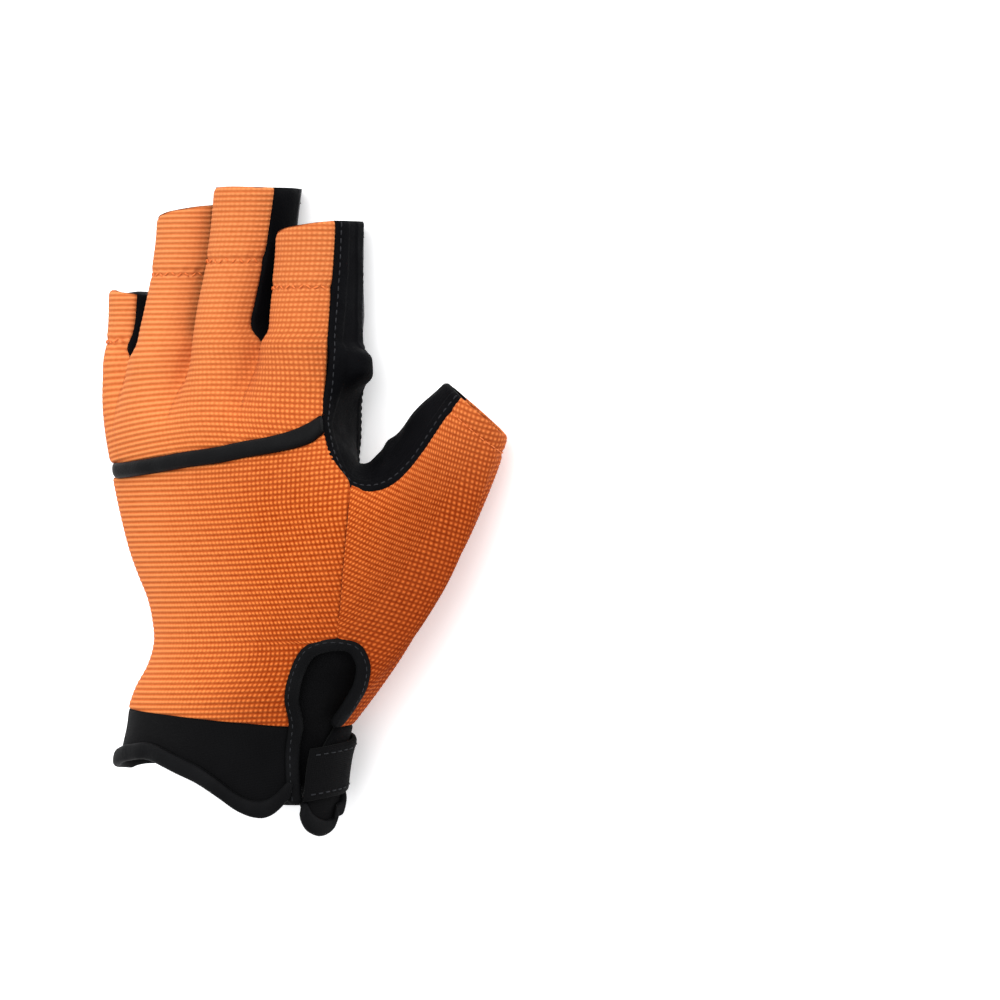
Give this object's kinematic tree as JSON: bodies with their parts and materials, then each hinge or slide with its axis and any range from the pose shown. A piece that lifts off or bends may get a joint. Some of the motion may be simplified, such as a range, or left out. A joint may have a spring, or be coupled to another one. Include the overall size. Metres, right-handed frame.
{
  "type": "trekking glove",
  "caption": "Fingerless left-hand trekking glove: ribbed knit back, leather palm, leather web at the thumb, keyhole wrist opening and strap closure.",
  "frame": {"origin": "middle of the glove's box, on the floor that its palm lies on", "axes": "+X toward the thumb side, +Y along the hand to the fingertips, +Z out of the back of the hand"},
  "size_m": [0.1292, 0.171, 0.0384],
  "materials": {
    "knit": "matte rib knit",
    "leather": "soft satin grain",
    "binding": "satin edge binding",
    "cuff_knit": "matte close knit",
    "strap": "matte laminated fabric",
    "loop_fuzz": "fuzzy loop pile"
  },
  "bodies": {
    "root": {"knuckle_panel": "knit", "back_panel": "knit", "thumb_panel": "knit", "knuckle_piping": "binding", "thumb_web": "leather", "finger_palm": "leather", "palm_base": "leather", "thumb_patch": "leather", "gusset_pinky_ring": "leather", "gusset_ring_middle": "leather", "gusset_middle_index": "leather", "cuff": "cuff_knit", "slit_gusset": "cuff_knit", "hem_binding": "binding", "keyhole_binding": "binding", "wrist_strap": "strap", "loop_patch": "loop_fuzz"}
  },
  "joints": []
}
